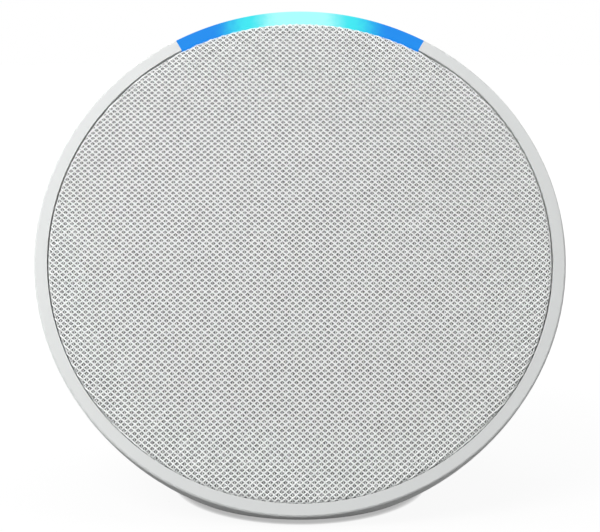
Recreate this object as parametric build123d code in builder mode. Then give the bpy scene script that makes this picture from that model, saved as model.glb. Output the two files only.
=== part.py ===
from build123d import *
import os
from math import asin, cos, degrees, radians, sin, sqrt

os.makedirs("parts", exist_ok=True)

# Overall form: a half ellipsoid that leans back, cut flat underneath
RIM_RADIUS = 49.5
DOME_DEPTH = 63.6
TILT = 26.25
RIM_LIFT = 2.21
WALL = 2.4
FLOOR = 3.0
FOOT_STANDOFF = 0.7
RIM_EDGE = 0.35
BASE_EDGE = 0.8

# General fits and small allowances
FIT = 0.2
SCREW_FIT = 0.05
GLUE_GAP = 0.05
OVERCUT = 1.0

# Front stack, as depths behind the flat face
CLOTH_THICK = 0.6
SHADOW_GAP = 0.15
GRILLE_THICK = 1.6
GRILLE_WALL = 1.2
GRILLE_SEAT = 4.6
GRILLE_HOLE = 2.1
GRILLE_PITCH = 5.0
PEG_RADIUS = 1.2
PEG_LENGTH = 2.0
PEG_CIRCLE = 32.0
BAFFLE_THICK = 2.8
SEAL_THICK = 0.6
LEDGE_THICK = 2.0
LEDGE_WIDTH = 5.3
SHELF_WIDTH = 2.8
FRONT_SCREWS = 5
FRONT_SPREAD = 240.0
BOSS_LENGTH = 4.0
BOSS_WALL = 1.5
RIB_COUNT = 10
RIB_WIDTH = 1.2
RIB_HEIGHT = 2.0

# Light bar and the lamps behind it
LIGHT_ANGLE = 29.2
LIGHT_LIP = 1.3
LED_BOARD_WIDTH = 7.4
LED_BOARD_MARGIN = 1.6
LED_NOTCH_MARGIN = 1.0
LED_COUNT = 6
LED_LENGTH = 3.0
LED_DEPTH = 1.3
LED_HEIGHT = 1.0
BOARD_THICK = 0.8

# Screws: shaft radius, head radius and head height
SCREW_SHAFT = 1.0
SCREW_HEAD = 1.8
SCREW_HEAD_HIGH = 1.2
SOCKET_RADIUS = 0.8
SOCKET_DEPTH = 0.6

# Loudspeaker driver, measured from the front of its flange
DRIVER_FLANGE = 28.5
DRIVER_OPENING = 24.0
FLANGE_THICK = 1.3
GASKET_THICK = 0.5
DRIVER_SCREWS = 4
ROLL_OUTER = 21.9
ROLL_INNER = 18.1
SHEET = 0.4
LIP_WIDTH = 1.8
COIL_RADIUS = 9.9
COIL_WALL = 0.15
WINDING = 0.4
AIR_GAP = 0.45
CONE_FALL = 6.5
CONE_SEAT = 1.0
COIL_OVERHANG = 1.0
FORMER_TAIL = 1.6
SHELF_DROP = 8.1
CUP_DROP = 11.6
CUP_WALL = 2.1
POLE_THICK = 3.0
MAGNET_THICK = 6.0
CUP_BASE = 3.5
BASKET_WALL = 1.2
THROAT_MARGIN = 2.0
SPIDER_SEAT = 2.2
BASKET_WINDOWS = 6
WINDOW_WIDTH = 11.0
WINDOW_HIGH = 4.6
CAP_RADIUS = 12.0
CAP_RISE = 2.75
CORRUGATIONS = 4
CORRUGATION_RISE = 0.45
CREST_SHARE = 0.35
TERMINAL_WIDTH = 12.0
TERMINAL_SHARE = 0.408
WIRE_RADIUS = 0.6
WIRE_PITCH = 5.0

# Main board on its tray
TRAY_LIFT = 2.0
TRAY_THICK = 1.6
TRAY_POST = 2.0
TRAY_INSET = 21.0
MAIN_THICK = 1.2
BOARD_WIDTH = 42.0
BOARD_LENGTH = 42.0
BOARD_CORNER = 9.0
BASE_SCREW_X = 26.0
BASE_SCREW_Y = 20.0
BOARD_SCREW_X = 33.0
BOARD_SCREW_Y = 26.0
POST_RADIUS = 2.6
SHIELD_SIDE = 18.0
SHIELD_HIGH = 2.4
SHIELD_SKIN = 0.25
CHIP_HIGH = 1.0
PAD_THICK = 0.5
PAD_INSET = 1.0
SHIELD_FORWARD = 2.2
SINK_BASE = 1.5
FIN_SHARE = 0.44
SINK_FINS = 6
SOCKET_HIGH = 2.4
RIBBON_SOCKET_X = 9.5
RIBBON_SOCKET_BACK = 10.0
COIL_SIDE = 4.0
COIL_HIGH = 2.0
CAN_RADIUS = 2.5
CAN_HIGH = 5.0
ANTENNA_LONG = 14.0
ANTENNA_HIGH = 5.0
ANTENNA_SKIN = 0.4

# Supply inlet at the back
JACK_SIDE = 9.0
JACK_LENGTH = 11.0
JACK_RECESS = 8.0
JACK_BORE = 2.6
JACK_BORE_DEEP = 9.5
PIN_RADIUS = 0.8
PIN_LENGTH = 8.5
WELL_RADIUS = 5.6
WELL_WALL = 1.4
WELL_EDGE = 0.5
JACK_OVERHANG = 5.6

# Controls on the top
BUTTON_BACK = 19.0
BUTTON_PITCH = 16.0
BUTTON_RADIUS = 4.2
BUTTON_LIP = 1.0
BUTTON_PROUD = 0.3
BUTTON_TRAVEL = 0.4
STEM_RADIUS = 1.5
STEM_SHORT = 0.9
SWITCH_SIDE = 4.5
SWITCH_HIGH = 2.2
PLUNGER_RADIUS = 0.9
PLUNGER_SHOWN = 0.7
PLUNGER_HIDDEN = 0.7
CONTROL_BOARD_X = 54.0
CONTROL_BOARD_Y = 11.0
MIC_HOLE = 0.6
MIC_SIDE = 3.0
MIC_HIGH = 1.0
MIC_TUBE = 1.8
CONTROL_BOSS = 2.0
CONTROL_CLEAR = 1.0
CONTROL_PILOT = 2.6

# Ribbons
RIBBON_THICK = 0.3
RIBBON_WIDE = 7.0
RIBBON_BEND = 6.0
RIBBON_TAIL = 3.0
RIBBON_SLACK = 1.2

# Foot
FOOT_INSET = 3.5
FOOT_THICK = 1.3
COUNTERBORE = 1.4

# The flat face: its centre, the way it points and the way up along it
LEAN_SIN = sin(radians(TILT))
LEAN_COS = cos(radians(TILT))
HEIGHT = RIM_LIFT + 2 * RIM_RADIUS * LEAN_COS
FACE_Z = HEIGHT - RIM_RADIUS * LEAN_COS
FACE_REACH = sqrt((DOME_DEPTH * LEAN_COS) ** 2 + (RIM_RADIUS * LEAN_SIN) ** 2)
FACE_Y = (RIM_RADIUS * LEAN_SIN - FACE_REACH) / 2
FACE_CENTRE = Vector(0, FACE_Y, FACE_Z)
FACE_NORMAL = Vector(0, -LEAN_COS, LEAN_SIN)
FACE_UP = Vector(0, LEAN_SIN, LEAN_COS)
FACE_AXIS = Axis(FACE_CENTRE, FACE_NORMAL)

# Depths and radii of the front stack
POCKET_RADIUS = RIM_RADIUS - WALL
CLOTH_RADIUS = POCKET_RADIUS - SHADOW_GAP
GRILLE_RADIUS = CLOTH_RADIUS - CLOTH_THICK
GRILLE_BACK = CLOTH_THICK + GRILLE_THICK
BAFFLE_BACK = GRILLE_SEAT + BAFFLE_THICK
LEDGE_FRONT = BAFFLE_BACK + SEAL_THICK
LEDGE_BACK = LEDGE_FRONT + LEDGE_THICK
SHELF_RADIUS = POCKET_RADIUS - SHELF_WIDTH
BAFFLE_RADIUS = SHELF_RADIUS - FIT
LEDGE_RADIUS = SHELF_RADIUS - LEDGE_WIDTH
FRONT_SCREW_CIRCLE = (SHELF_RADIUS + LEDGE_RADIUS) / 2
INNER_RADIUS = RIM_RADIUS - WALL
INNER_DEPTH = DOME_DEPTH - WALL
FLANGE_FRONT = BAFFLE_BACK + GASKET_THICK
FLANGE_BACK = FLANGE_FRONT + FLANGE_THICK
DRIVER_SCREW_CIRCLE = (DRIVER_FLANGE + DRIVER_OPENING) / 2 + GLUE_GAP
LED_BOARD_ANGLE = LIGHT_ANGLE + LED_BOARD_MARGIN
LED_NOTCH_ANGLE = LED_BOARD_ANGLE + LED_NOTCH_MARGIN

# Levels of the base and the board, upwards from the table
FLOOR_TOP = FOOT_STANDOFF + FLOOR
TRAY_BOTTOM = FLOOR_TOP + TRAY_LIFT
TRAY_TOP = TRAY_BOTTOM + TRAY_THICK
BOARD_BOTTOM = TRAY_TOP + TRAY_POST
BOARD_TOP = BOARD_BOTTOM + MAIN_THICK
SOCKET_TOP = BOARD_TOP + SOCKET_HIGH
JACK_Z = BOARD_TOP + JACK_SIDE / 2


def support(radius, depth):
    """How far an ellipsoid of the dome's kind reaches below the face centre."""
    return sqrt((depth * LEAN_SIN) ** 2 + (radius * LEAN_COS) ** 2)


def back_of_dome(radius, depth, z):
    """Y of the dome's back at height z, on the middle plane."""
    drop = z - FACE_Z
    flat = (LEAN_COS / depth) ** 2 + (LEAN_SIN / radius) ** 2
    skew = LEAN_SIN * LEAN_COS * (1 / radius**2 - 1 / depth**2) * drop
    lift = (drop * LEAN_SIN / depth) ** 2 + (drop * LEAN_COS / radius) ** 2 - 1
    return FACE_Y + (-skew + sqrt(skew**2 - flat * lift)) / flat


def front_of_dome(radius, depth, z):
    """Y of the whole ellipsoid's front at height z, on the middle plane."""
    drop = z - FACE_Z
    flat = (LEAN_COS / depth) ** 2 + (LEAN_SIN / radius) ** 2
    skew = LEAN_SIN * LEAN_COS * (1 / radius**2 - 1 / depth**2) * drop
    lift = (drop * LEAN_SIN / depth) ** 2 + (drop * LEAN_COS / radius) ** 2 - 1
    return FACE_Y + (-skew - sqrt(skew**2 - flat * lift)) / flat


# The flat underside is an ellipse
BASE_BACK = back_of_dome(RIM_RADIUS, DOME_DEPTH, FOOT_STANDOFF)
BASE_FRONT = front_of_dome(RIM_RADIUS, DOME_DEPTH, FOOT_STANDOFF)
BASE_Y = (BASE_BACK + BASE_FRONT) / 2
BASE_LONG = (BASE_BACK - BASE_FRONT) / 2
BASE_SHARE = (FACE_Z - FOOT_STANDOFF) / support(RIM_RADIUS, DOME_DEPTH)
BASE_WIDE = RIM_RADIUS * sqrt(1 - BASE_SHARE**2)
FOOT_RECESS = FOOT_THICK - FOOT_STANDOFF

# The inlet and the board take their place from the back of the dome
JACK_FACE_Y = back_of_dome(RIM_RADIUS, DOME_DEPTH, JACK_Z) - JACK_RECESS
WELL_BACK_Y = JACK_FACE_Y - WELL_WALL
BOARD_BACK = WELL_BACK_Y - JACK_OVERHANG
BOARD_Y = BOARD_BACK - BOARD_LENGTH / 2
TRAY_Y = BOARD_BACK - TRAY_INSET
RIBBON_SOCKET_Y = BOARD_BACK - RIBBON_SOCKET_BACK
NOSE_RADIUS = (JACK_SIDE / 2 + JACK_BORE) / 2

# The controls stand square to the dome where they sit
BUTTON_HIGH = RIM_RADIUS * sqrt(1 - (BUTTON_BACK / DOME_DEPTH) ** 2)
BUTTON_SLOPE = FACE_UP * (BUTTON_HIGH / RIM_RADIUS**2) - FACE_NORMAL * (BUTTON_BACK / DOME_DEPTH**2)
BUTTON_NORMAL = BUTTON_SLOPE.normalized()
BUTTON_ORIGIN = FACE_CENTRE - FACE_NORMAL * BUTTON_BACK + FACE_UP * BUTTON_HIGH
BUTTON_PLANE = Plane(origin=BUTTON_ORIGIN, x_dir=(1, 0, 0), z_dir=BUTTON_NORMAL)
CROSS_RADIUS = BUTTON_HIGH / BUTTON_NORMAL.dot(FACE_UP)
BUTTON_FLANGE = BUTTON_RADIUS + BUTTON_LIP


def inside_depth(x):
    """Depth of the shell's inner face under the button plane, x off the middle."""
    fall = sqrt(CROSS_RADIUS**2 - x**2)
    return CROSS_RADIUS - fall + WALL * CROSS_RADIUS / fall + FIT


def flange_depth(x):
    """Depth of the top of a button's flange, clear of the shell."""
    return inside_depth(abs(x) + BUTTON_FLANGE) + FIT


# The control board hangs low enough for the stems and for its own ends
STEM_ROOM = flange_depth(BUTTON_PITCH) + BUTTON_LIP + STEM_SHORT + PLUNGER_SHOWN + SWITCH_HIGH
CONTROL_TOP = max(STEM_ROOM, inside_depth(CONTROL_BOARD_X / 2) + CONTROL_CLEAR)
CONTROL_BACK = CONTROL_TOP + BOARD_THICK
SWITCH_TOP = CONTROL_TOP - SWITCH_HIGH
STEM_END = SWITCH_TOP - PLUNGER_SHOWN
BUTTONS_END = BUTTON_PITCH + BUTTON_FLANGE
CONTROL_SCREW_X = max((CONTROL_BOARD_X / 2 + BUTTONS_END) / 2, BUTTONS_END + CONTROL_BOSS + FIT)
MIC_X = BUTTON_PITCH / 2

UPWARD = (Align.CENTER, Align.CENTER, Align.MIN)
DOWNWARD = (Align.CENTER, Align.CENTER, Align.MAX)


def face_plane(depth):
    """Plane parallel to the flat face, at a depth behind it."""
    return Plane(origin=FACE_CENTRE - FACE_NORMAL * depth, x_dir=(1, 0, 0), z_dir=FACE_NORMAL)


def meridian(angle=0):
    """Plane through the face's axis: local x is the radius, local y is minus the depth."""
    radial = Vector(1, 0, 0) * cos(radians(angle)) + FACE_UP * sin(radians(angle))
    return Plane(origin=FACE_CENTRE, x_dir=radial, z_dir=radial.cross(FACE_NORMAL))


def rear_plane(y, z):
    """Plane that faces the back, with its origin on the middle plane."""
    return Plane(origin=(0, y, z), x_dir=(-1, 0, 0), z_dir=(0, 1, 0))


def side_point(depth, high):
    """Point on the middle plane, from a depth behind the face and a height along it."""
    spot = FACE_CENTRE - FACE_NORMAL * depth + FACE_UP * high
    return (spot.Y, spot.Z)


def control_point(along, depth):
    """Point on the middle plane, from the button plane: along it to the back, and under it."""
    spot = BUTTON_ORIGIN + BUTTON_PLANE.y_dir * along - BUTTON_NORMAL * depth
    return (spot.Y, spot.Z)


def dome_section(radius, depth):
    """Half section of a dome."""
    with BuildSketch() as section:
        with BuildLine():
            arc = EllipticalCenterArc((0, 0), radius, depth, -90, arc_size=90)
            Polyline(arc @ 1, (0, 0), arc @ 0)
        make_face()
    return section.sketch


def turned(points):
    """Closed outline through (radius, depth) points, to be turned about the axis."""
    with BuildSketch() as section:
        with BuildLine():
            Polyline([(radius, -depth) for radius, depth in points], close=True)
        make_face()
    return section.sketch


def sector(inner, outer, half_angle):
    """Piece of a flat ring about the top of the face."""
    with BuildSketch() as piece:
        with BuildLine():
            wide = CenterArc((0, 0), outer, 90 - half_angle, 2 * half_angle)
            near = CenterArc((0, 0), inner, 90 - half_angle, 2 * half_angle)
            Line(wide @ 0, near @ 0)
            Line(wide @ 1, near @ 1)
        make_face()
    return piece.sketch


def round_the_face(radius):
    """Equal places round the face, with the top left free for the lamps."""
    return PolarLocations(radius, FRONT_SCREWS, -90 - FRONT_SPREAD / 2, FRONT_SPREAD, endpoint=True)


def save(builder, name):
    """Name a finished piece and write it."""
    builder.part.label = name
    export_step(builder.part, f"parts/{name}.step")


# Solid dome, the outer form
with BuildPart() as envelope:
    with BuildSketch(meridian()):
        add(dome_section(RIM_RADIUS, DOME_DEPTH))
        fillet(vertices().sort_by(Axis.X)[-1], RIM_EDGE)
    revolve(axis=FACE_AXIS)
    split(bisect_by=Plane.XY.offset(FOOT_STANDOFF), keep=Keep.TOP)
    fillet(faces().sort_by(Axis.Z)[0].edges(), BASE_EDGE)

# Room inside the shell, behind the ledge and above the floor
with BuildPart() as cavity:
    with BuildSketch(meridian()):
        add(dome_section(INNER_RADIUS, INNER_DEPTH))
        with Locations((0, -LEDGE_BACK)):
            Rectangle(2 * RIM_RADIUS, 2 * LEDGE_BACK, align=(Align.MIN, Align.MIN), mode=Mode.SUBTRACT)
    revolve(axis=FACE_AXIS)
    split(bisect_by=Plane.XY.offset(FLOOR_TOP), keep=Keep.TOP)

# Middle of the wall, where what stands inside the shell ends
with BuildPart() as wall_middle:
    with BuildSketch(meridian()):
        add(dome_section(RIM_RADIUS - WALL / 2, DOME_DEPTH - WALL / 2))
    revolve(axis=FACE_AXIS)

# Tube and floor of the well that the plug goes into
with BuildPart() as jack_well:
    with BuildSketch(rear_plane(WELL_BACK_Y, JACK_Z)):
        Circle(WELL_RADIUS + WELL_WALL)
    extrude(amount=DOME_DEPTH)
    add(wall_middle.part, mode=Mode.INTERSECT)

# Two bosses that the control board hangs from
with BuildPart() as control_bosses:
    with BuildSketch(BUTTON_PLANE.offset(-CONTROL_TOP)):
        with GridLocations(2 * CONTROL_SCREW_X, 0, 2, 1):
            Circle(CONTROL_BOSS)
    extrude(amount=CONTROL_TOP)
    add(wall_middle.part, mode=Mode.INTERSECT)

# Housing: dome, front pockets, floor, wells and holes
with BuildPart() as rear_housing:
    add(envelope.part)
    with BuildSketch(meridian()):
        outline = [
            (0, -OVERCUT),
            (POCKET_RADIUS, -OVERCUT),
            (POCKET_RADIUS, GRILLE_SEAT),
            (SHELF_RADIUS, GRILLE_SEAT),
            (SHELF_RADIUS, LEDGE_FRONT),
            (LEDGE_RADIUS, LEDGE_FRONT),
            (LEDGE_RADIUS, LEDGE_BACK + OVERCUT),
            (0, LEDGE_BACK + OVERCUT),
        ]
        add(turned(outline))
    revolve(axis=FACE_AXIS, mode=Mode.SUBTRACT)
    add(cavity.part, mode=Mode.SUBTRACT)
    add(jack_well.part)
    add(control_bosses.part)
    # Bosses behind the ledge for the front screws
    with BuildSketch(face_plane(LEDGE_BACK)):
        with round_the_face(FRONT_SCREW_CIRCLE):
            Circle(SCREW_SHAFT + BOSS_WALL)
    extrude(amount=-BOSS_LENGTH)
    with BuildSketch(face_plane(LEDGE_FRONT)):
        with round_the_face(FRONT_SCREW_CIRCLE):
            Circle(SCREW_SHAFT + SCREW_FIT)
    extrude(amount=-(LEDGE_THICK + BOSS_LENGTH - OVERCUT), mode=Mode.SUBTRACT)
    # Notch in the rim for the light bar and its foot
    with BuildSketch(meridian(90 - LIGHT_ANGLE)):
        outline = [
            (RIM_RADIUS + OVERCUT, -OVERCUT),
            (RIM_RADIUS + OVERCUT, GRILLE_SEAT),
            (RIM_RADIUS - LIGHT_LIP, GRILLE_SEAT),
            (RIM_RADIUS - LIGHT_LIP, LEDGE_FRONT),
            (LEDGE_RADIUS, LEDGE_FRONT),
            (LEDGE_RADIUS, -OVERCUT),
        ]
        add(turned(outline))
    revolve(axis=FACE_AXIS, revolution_arc=2 * LIGHT_ANGLE, mode=Mode.SUBTRACT)
    # Well for the plug, and the hole the inlet looks through
    with BuildSketch(rear_plane(JACK_FACE_Y, JACK_Z)):
        Circle(WELL_RADIUS)
    extrude(amount=DOME_DEPTH, mode=Mode.SUBTRACT)
    with BuildSketch(rear_plane(WELL_BACK_Y, JACK_Z)):
        Circle(NOSE_RADIUS + SCREW_FIT)
    extrude(amount=2 * WELL_WALL, mode=Mode.SUBTRACT)
    fillet(edges().sort_by_distance((0, JACK_FACE_Y + JACK_RECESS, JACK_Z))[0], WELL_EDGE)
    # Button holes, microphone holes and boss pilots
    with BuildSketch(BUTTON_PLANE.offset(OVERCUT)):
        with GridLocations(BUTTON_PITCH, 0, 3, 1):
            Circle(BUTTON_RADIUS + FIT)
        with GridLocations(2 * MIC_X, 0, 2, 1):
            Circle(MIC_HOLE)
    extrude(amount=-(flange_depth(BUTTON_PITCH) + OVERCUT), mode=Mode.SUBTRACT)
    with BuildSketch(BUTTON_PLANE.offset(-CONTROL_TOP)):
        with GridLocations(2 * CONTROL_SCREW_X, 0, 2, 1):
            Circle(SCREW_SHAFT + SCREW_FIT)
    extrude(amount=CONTROL_PILOT, mode=Mode.SUBTRACT)
    # Recess for the foot and screw holes through the floor
    with BuildSketch(Plane.XY.offset(FOOT_STANDOFF)):
        with Locations((0, BASE_Y)):
            Ellipse(BASE_WIDE - FOOT_INSET + FIT, BASE_LONG - FOOT_INSET + FIT)
    extrude(amount=FOOT_RECESS, mode=Mode.SUBTRACT)
    with BuildSketch(Plane.XY.offset(FOOT_THICK)):
        with Locations((0, TRAY_Y)):
            with GridLocations(BASE_SCREW_X, BASE_SCREW_Y, 2, 2):
                Circle(SCREW_HEAD + FIT)
    extrude(amount=COUNTERBORE, mode=Mode.SUBTRACT)
    with BuildSketch(Plane.XY.offset(FOOT_THICK)):
        with Locations((0, TRAY_Y)):
            with GridLocations(BASE_SCREW_X, BASE_SCREW_Y, 2, 2):
                Circle(SCREW_SHAFT + FIT)
    extrude(amount=FLOOR, mode=Mode.SUBTRACT)
save(rear_housing, "rear_housing")

# Light bar: a piece of the rim with a foot that reaches in to the lamps
GAP_ANGLE = degrees(asin(SCREW_FIT / RIM_RADIUS))
with BuildPart() as light_bar:
    with BuildSketch(meridian(90 - LIGHT_ANGLE + GAP_ANGLE)):
        add(dome_section(RIM_RADIUS, DOME_DEPTH))
        fillet(vertices().sort_by(Axis.X)[-1], RIM_EDGE)
        with Locations((POCKET_RADIUS, 0)):
            Rectangle(WALL, GRILLE_SEAT - SCREW_FIT, align=(Align.MIN, Align.MAX), mode=Mode.INTERSECT)
        with Locations((POCKET_RADIUS, -GRILLE_SEAT / 2)):
            Rectangle(
                RIM_RADIUS - LIGHT_LIP - SCREW_FIT - POCKET_RADIUS,
                BAFFLE_BACK - GRILLE_SEAT / 2,
                align=(Align.MIN, Align.MAX),
            )
        with Locations((SHELF_RADIUS + FIT, -GRILLE_SEAT - FIT)):
            Rectangle(
                POCKET_RADIUS - SHELF_RADIUS,
                BAFFLE_THICK - FIT,
                align=(Align.MIN, Align.MAX),
            )
    revolve(axis=FACE_AXIS, revolution_arc=2 * (LIGHT_ANGLE - GAP_ANGLE))
save(light_bar, "light_bar")

# Lamp board on the seal behind the light bar's foot
LED_BOARD_OUTER = BAFFLE_RADIUS - FIT
LED_BOARD_INNER = LED_BOARD_OUTER - LED_BOARD_WIDTH
with BuildPart() as led_board:
    with BuildSketch(face_plane(BAFFLE_BACK)):
        add(sector(LED_BOARD_INNER, LED_BOARD_OUTER, LED_BOARD_ANGLE))
    extrude(amount=BOARD_THICK)
save(led_board, "led_board")

LED_SPREAD = 2 * LIGHT_ANGLE * (1 - 1 / LED_COUNT)
with BuildPart(face_plane(BAFFLE_BACK - BOARD_THICK)) as leds:
    with PolarLocations(
        LED_BOARD_OUTER - LED_DEPTH / 2, LED_COUNT, 90 - LED_SPREAD / 2, LED_SPREAD, endpoint=True
    ):
        Box(LED_DEPTH, LED_LENGTH, LED_HEIGHT, align=UPWARD)
save(leds, "leds")

# Cloth: a flat disc with a skirt drawn over the edge of the grille
with BuildPart() as grille_cloth:
    with BuildSketch(meridian()):
        outline = [
            (0, 0),
            (CLOTH_RADIUS, 0),
            (CLOTH_RADIUS, GRILLE_SEAT - CLOTH_THICK),
            (GRILLE_RADIUS, GRILLE_SEAT - CLOTH_THICK),
            (GRILLE_RADIUS, CLOTH_THICK),
            (0, CLOTH_THICK),
        ]
        add(turned(outline))
        fillet(vertices().sort_by(Axis.Y)[-2:].sort_by(Axis.X)[-1], CLOTH_THICK / 2)
    revolve(axis=FACE_AXIS)
save(grille_cloth, "grille_cloth")

# Grille: plate with a field of six-sided holes over the driver, a wall and pegs
with BuildPart() as grille_frame:
    with BuildSketch(face_plane(CLOTH_THICK)):
        Circle(GRILLE_RADIUS)
    extrude(amount=-GRILLE_THICK)
    with BuildSketch(face_plane(GRILLE_BACK)):
        Circle(GRILLE_RADIUS)
        Circle(GRILLE_RADIUS - GRILLE_WALL, mode=Mode.SUBTRACT)
    extrude(amount=GRILLE_BACK - GRILLE_SEAT)
    FIELD = int(2 * DRIVER_FLANGE / GRILLE_PITCH)
    with BuildSketch(face_plane(CLOTH_THICK)):
        with HexLocations(GRILLE_PITCH / 2, FIELD, FIELD) as grid:
            near = [spot for spot in grid.local_locations if spot.position.length < DRIVER_FLANGE]
        with Locations(near):
            RegularPolygon(GRILLE_HOLE, 6, major_radius=False, rotation=30)
    extrude(amount=-GRILLE_THICK, mode=Mode.SUBTRACT)
    with BuildSketch(face_plane(GRILLE_BACK)):
        with round_the_face(PEG_CIRCLE):
            Circle(PEG_RADIUS)
    extrude(amount=-(GRILLE_SEAT - GRILLE_BACK + PEG_LENGTH))
save(grille_frame, "grille_frame")

# Baffle: carries the driver from behind, with ribs, peg holes and a notch for the lamps
lamp_notch = sector(LED_BOARD_INNER - FIT, RIM_RADIUS, LED_NOTCH_ANGLE)
with BuildPart() as baffle:
    with BuildSketch(face_plane(GRILLE_SEAT)):
        Circle(BAFFLE_RADIUS)
        Circle(DRIVER_OPENING, mode=Mode.SUBTRACT)
        with round_the_face(PEG_CIRCLE):
            Circle(PEG_RADIUS + SCREW_FIT, mode=Mode.SUBTRACT)
        add(lamp_notch, mode=Mode.SUBTRACT)
    extrude(amount=-BAFFLE_THICK)
    chamfer(
        edges().filter_by(GeomType.CIRCLE).group_by(lambda e: abs(e.radius - DRIVER_OPENING))[0]
        .sort_by(FACE_AXIS)[-1],
        BAFFLE_THICK / 2,
    )
    RIB_OUTER = LEDGE_RADIUS - FIT
    RIB_INNER = DRIVER_FLANGE + FIT
    with BuildSketch(face_plane(BAFFLE_BACK)):
        with PolarLocations((RIB_OUTER + RIB_INNER) / 2, RIB_COUNT, start_angle=180 / RIB_COUNT - 90):
            Rectangle(RIB_OUTER - RIB_INNER - FIT, RIB_WIDTH)
        add(lamp_notch, mode=Mode.SUBTRACT)
    extrude(amount=-RIB_HEIGHT)
    with BuildSketch(face_plane(GRILLE_SEAT)):
        with round_the_face(FRONT_SCREW_CIRCLE):
            Circle(SCREW_HEAD + FIT)
    extrude(amount=-(SCREW_HEAD_HIGH + FIT), mode=Mode.SUBTRACT)
    with BuildSketch(face_plane(GRILLE_SEAT)):
        with round_the_face(FRONT_SCREW_CIRCLE):
            Circle(SCREW_SHAFT + FIT)
    extrude(amount=-BAFFLE_THICK, mode=Mode.SUBTRACT)
    with BuildSketch(face_plane(BAFFLE_BACK)):
        with PolarLocations(DRIVER_SCREW_CIRCLE, DRIVER_SCREWS, start_angle=45):
            Circle(SCREW_SHAFT + SCREW_FIT)
    extrude(amount=BAFFLE_THICK - SCREW_SHAFT, mode=Mode.SUBTRACT)
save(baffle, "baffle")

# Foam ring between baffle and ledge
with BuildPart() as baffle_seal:
    with BuildSketch(face_plane(BAFFLE_BACK)):
        Circle(BAFFLE_RADIUS)
        Circle(LEDGE_RADIUS, mode=Mode.SUBTRACT)
        with round_the_face(FRONT_SCREW_CIRCLE):
            Circle(SCREW_SHAFT + FIT, mode=Mode.SUBTRACT)
    extrude(amount=-SEAL_THICK)
save(baffle_seal, "baffle_seal")


def screw_set(plane, places, length):
    """A set of equal screws: heads stand on the plane, shafts go through it."""
    with BuildPart(plane) as screws:
        with places():
            Cylinder(SCREW_HEAD, SCREW_HEAD_HIGH, align=UPWARD)
            Cylinder(SCREW_SHAFT, length, align=DOWNWARD)
        with BuildSketch(plane.offset(SCREW_HEAD_HIGH)):
            with places():
                RegularPolygon(SOCKET_RADIUS, 6)
        extrude(amount=-SOCKET_DEPTH, mode=Mode.SUBTRACT)
    return screws


def front_places():
    return round_the_face(FRONT_SCREW_CIRCLE)


baffle_screws = screw_set(
    face_plane(GRILLE_SEAT + SCREW_HEAD_HIGH + FIT),
    front_places,
    BAFFLE_THICK + SEAL_THICK + LEDGE_THICK + BOSS_LENGTH - SCREW_HEAD_HIGH - 2 * OVERCUT,
)
save(baffle_screws, "baffle_screws")

# Driver gasket and basket: flange, sloping wall with windows, shelf for the spider, ring for the cup
with BuildPart() as driver_gasket:
    with BuildSketch(face_plane(BAFFLE_BACK)):
        Circle(DRIVER_FLANGE)
        Circle(DRIVER_OPENING, mode=Mode.SUBTRACT)
        with PolarLocations(DRIVER_SCREW_CIRCLE, DRIVER_SCREWS, start_angle=45):
            Circle(SCREW_SHAFT + FIT, mode=Mode.SUBTRACT)
    extrude(amount=-GASKET_THICK)
save(driver_gasket, "driver_gasket")

CUP_INNER = COIL_RADIUS + COIL_WALL + WINDING + AIR_GAP
CUP_OUTER = CUP_INNER + CUP_WALL
CUP_SEAT = CUP_OUTER + GLUE_GAP
BASKET_THROAT = CUP_OUTER + THROAT_MARGIN
SHELF_OUTER = BASKET_THROAT + SPIDER_SEAT
BASKET_MOUTH = ROLL_OUTER + 2 * GLUE_GAP
SHELF_TOP = FLANGE_FRONT + SHELF_DROP
CUP_FRONT = FLANGE_FRONT + CUP_DROP
with BuildPart() as driver_basket:
    with BuildSketch(meridian()):
        outline = [
            (BASKET_MOUTH, FLANGE_FRONT),
            (DRIVER_FLANGE, FLANGE_FRONT),
            (DRIVER_FLANGE, FLANGE_BACK),
            (BASKET_MOUTH + BASKET_WALL, FLANGE_BACK),
            (SHELF_OUTER + BASKET_WALL, SHELF_TOP),
            (SHELF_OUTER + BASKET_WALL, SHELF_TOP + BASKET_WALL),
            (BASKET_THROAT + BASKET_WALL, SHELF_TOP + BASKET_WALL),
            (BASKET_THROAT + BASKET_WALL, CUP_FRONT + BASKET_WALL),
            (CUP_SEAT, CUP_FRONT + BASKET_WALL),
            (CUP_SEAT, CUP_FRONT),
            (BASKET_THROAT, CUP_FRONT),
            (BASKET_THROAT, SHELF_TOP),
            (SHELF_OUTER, SHELF_TOP),
            (BASKET_MOUTH, FLANGE_BACK),
        ]
        add(turned(outline))
    revolve(axis=FACE_AXIS)
    WINDOW_PLACE = (FLANGE_BACK + SHELF_TOP) / 2
    with BuildPart(face_plane(WINDOW_PLACE), mode=Mode.SUBTRACT):
        with PolarLocations((SHELF_OUTER + BASKET_MOUTH) / 2, BASKET_WINDOWS):
            Box(DRIVER_FLANGE - SHELF_OUTER, WINDOW_WIDTH, WINDOW_HIGH)
    with BuildSketch(face_plane(FLANGE_BACK)):
        with PolarLocations(DRIVER_SCREW_CIRCLE, DRIVER_SCREWS, start_angle=45):
            Circle(SCREW_SHAFT + FIT)
    extrude(amount=FLANGE_THICK, mode=Mode.SUBTRACT)
save(driver_basket, "driver_basket")


def driver_places():
    return PolarLocations(DRIVER_SCREW_CIRCLE, DRIVER_SCREWS, start_angle=45)


driver_screws = screw_set(
    Plane(origin=face_plane(FLANGE_BACK).origin, x_dir=(1, 0, 0), z_dir=-FACE_NORMAL),
    driver_places,
    FLANGE_THICK + GASKET_THICK + BAFFLE_THICK - 2 * SCREW_SHAFT,
)
save(driver_screws, "driver_screws")

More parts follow.
